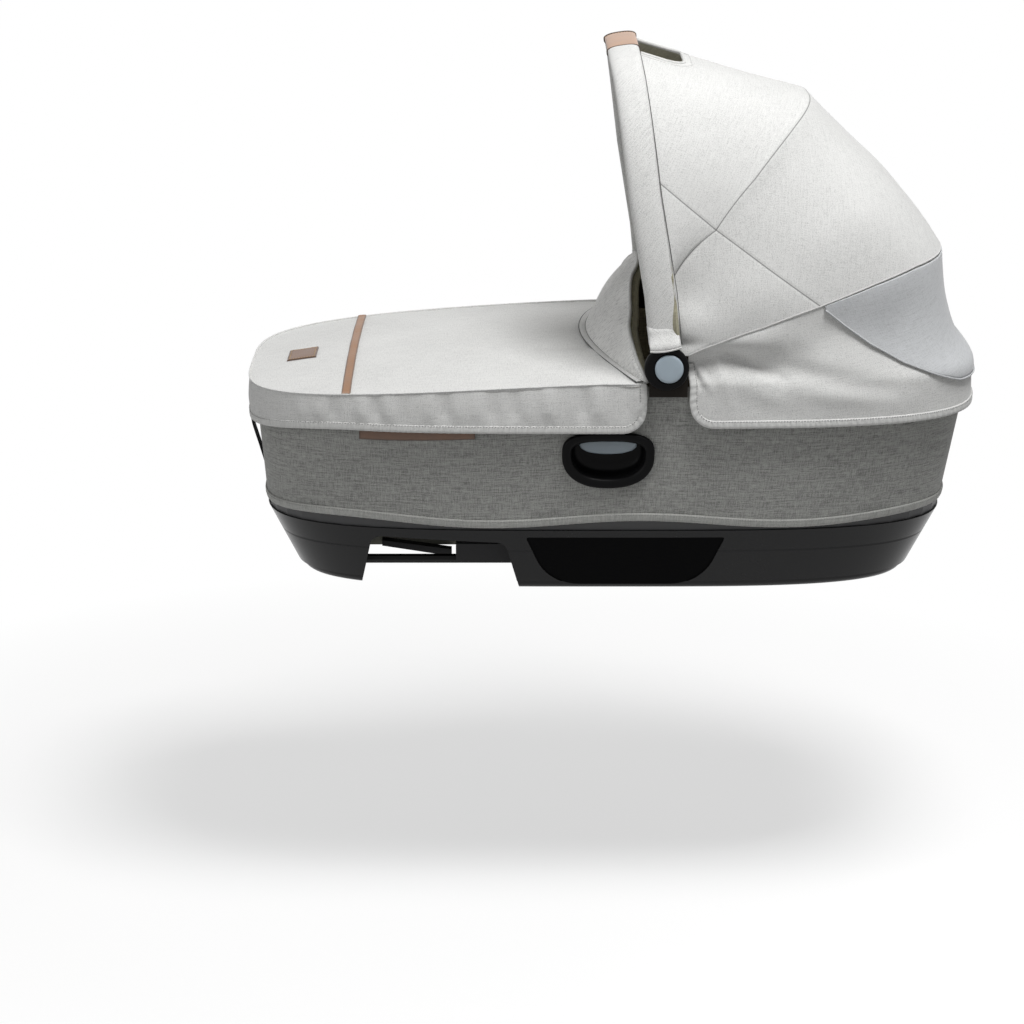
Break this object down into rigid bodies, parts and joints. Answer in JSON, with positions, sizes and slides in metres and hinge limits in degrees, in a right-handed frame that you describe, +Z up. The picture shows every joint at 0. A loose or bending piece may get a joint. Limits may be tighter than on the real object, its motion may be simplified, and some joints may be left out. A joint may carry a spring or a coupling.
{
  "type": "carrycot",
  "caption": "Carrycot with a rigid tunnelled base, padded tub, lift-off apron and a folding canopy on a carry-handle bow.",
  "frame": {"origin": "on the floor under the middle of the whole carrycot", "axes": "+X toward the head end with the canopy, +Y to the left side, +Z up"},
  "size_m": [0.8234, 0.466, 0.6027],
  "materials": {
    "shell_black": "satin black moulded plastic",
    "panel_black": "fine matte grain",
    "hub_black": "satin black moulded plastic",
    "accent_blue_grey": "satin blue-grey plastic",
    "steel": "plain drawn wire",
    "black_tube": "black powder coat",
    "melange_fabric": "off-white melange weave",
    "linen_fabric": "mid-grey linen-look weave",
    "lining_fabric": "khaki lining",
    "leather_tan": "tan leather",
    "leather_brown": "brown leather",
    "foam_grey": "open-cell foam",
    "mattress_white": "knitted mattress cover",
    "channel_olive": "olive-grey plastic",
    "webbing_black": "black webbing"
  },
  "bodies": {
    "root": {"adaptor_socket_left": "panel_black", "adaptor_socket_right": "panel_black", "base_rail_left": "black_tube", "base_rail_right": "black_tube", "base_shell": "shell_black", "base_side_panel_left": "panel_black", "base_side_panel_right": "panel_black", "brace_link_left": "panel_black", "brace_link_right": "panel_black", "button_spring_left": "steel", "button_spring_right": "steel", "canopy_skirt": "melange_fabric", "foam_liner": "foam_grey", "foot_strap": "webbing_black", "hub_bracket_left": "hub_black", "hub_bracket_right": "hub_black", "hub_cap_left": "hub_black", "hub_cap_right": "hub_black", "hub_pin_left": "steel", "hub_pin_right": "steel", "inner_lining": "lining_fabric", "lever_pin_left": "steel", "lever_pin_right": "steel", "lever_spring_left": "steel", "lever_spring_right": "steel", "mattress": "mattress_white", "mattress_board": "panel_black", "rail_block_left": "panel_black", "rail_block_right": "panel_black", "rear_bow": "steel", "release_cup_left": "hub_black", "release_cup_right": "hub_black", "side_skirt": "linen_fabric", "side_strip_left": "leather_brown", "side_strip_right": "leather_brown", "skirt_binding": "linen_fabric", "support_channel": "channel_olive", "tub": "shell_black", "vent_flap": "melange_fabric"},
    "mid_bow": {"mid_bow": "steel", "canopy_rear": "melange_fabric"},
    "handle": {"handle_bow": "black_tube", "handle_grip": "leather_tan", "handle_sleeve_left": "melange_fabric", "handle_sleeve_right": "melange_fabric", "canopy_front": "melange_fabric"},
    "apron": {"apron": "melange_fabric", "wind_flap": "melange_fabric", "trim_strip": "leather_tan", "label_patch": "leather_brown"},
    "hub_button_right": {"hub_button_right": "accent_blue_grey"},
    "hub_button_left": {"hub_button_left": "accent_blue_grey"},
    "release_lever_right": {"release_lever_right": "accent_blue_grey"},
    "release_lever_left": {"release_lever_left": "accent_blue_grey"},
    "latch_right": {"latch_bar_right": "steel"},
    "latch_left": {"latch_bar_left": "steel"}
  },
  "joints": [
    {"name": "mid_bow_fold", "type": "hinge", "parent": "root", "child": "mid_bow", "pos_m": [0.058, 0, 0.27], "axis": [0, 1, 0], "range_deg": [0, 31.5], "deforming": ["canopy_rear"]},
    {"name": "handle_fold", "type": "hinge", "parent": "mid_bow", "child": "handle", "pos_m": [0.058, 0, 0.27], "axis": [0, 1, 0], "range_deg": [0, 31.5], "deforming": ["canopy_front"]},
    {"name": "apron_lift_off", "type": "slide", "parent": "root", "child": "apron", "axis": [-0.5, 0, 0.866], "range_m": [0, 0.25]},
    {"name": "hub_button_right_press", "type": "slide", "parent": "root", "child": "hub_button_right", "axis": [0, 1, 0], "range_m": [0, 0.003], "stiffness_N_per_m": 900, "springref_m": -0.003, "deforming": ["button_spring_right"]},
    {"name": "hub_button_left_press", "type": "slide", "parent": "root", "child": "hub_button_left", "axis": [0, -1, 0], "range_m": [0, 0.003], "stiffness_N_per_m": 900, "springref_m": -0.003, "deforming": ["button_spring_left"]},
    {"name": "release_lever_right_pull", "type": "hinge", "parent": "root", "child": "release_lever_right", "pos_m": [-0.0065, -0.1992, 0.1824], "axis": [1, 0, 0], "range_deg": [0, 12], "stiffness_Nm_per_rad": 0.5, "springref_deg": -5.73, "deforming": ["lever_spring_right"]},
    {"name": "release_lever_left_pull", "type": "hinge", "parent": "root", "child": "release_lever_left", "pos_m": [-0.0065, 0.1992, 0.1824], "axis": [-1, 0, 0], "range_deg": [0, 12], "stiffness_Nm_per_rad": 0.5, "springref_deg": -5.73, "deforming": ["lever_spring_left"]},
    {"name": "latch_right_lift", "type": "slide", "parent": "root", "child": "latch_right", "axis": [0, 0, 1], "range_m": [0, 0.006]},
    {"name": "latch_left_lift", "type": "slide", "parent": "root", "child": "latch_left", "axis": [0, 0, 1], "range_m": [0, 0.006]}
  ],
  "couplings": [
    {"joint": "handle_fold", "follows": "mid_bow_fold", "ratio": 1},
    {"joint": "release_lever_right_pull", "follows": "latch_right_lift", "rad_per_m": 34.9},
    {"joint": "release_lever_left_pull", "follows": "latch_left_lift", "rad_per_m": 34.9}
  ]
}
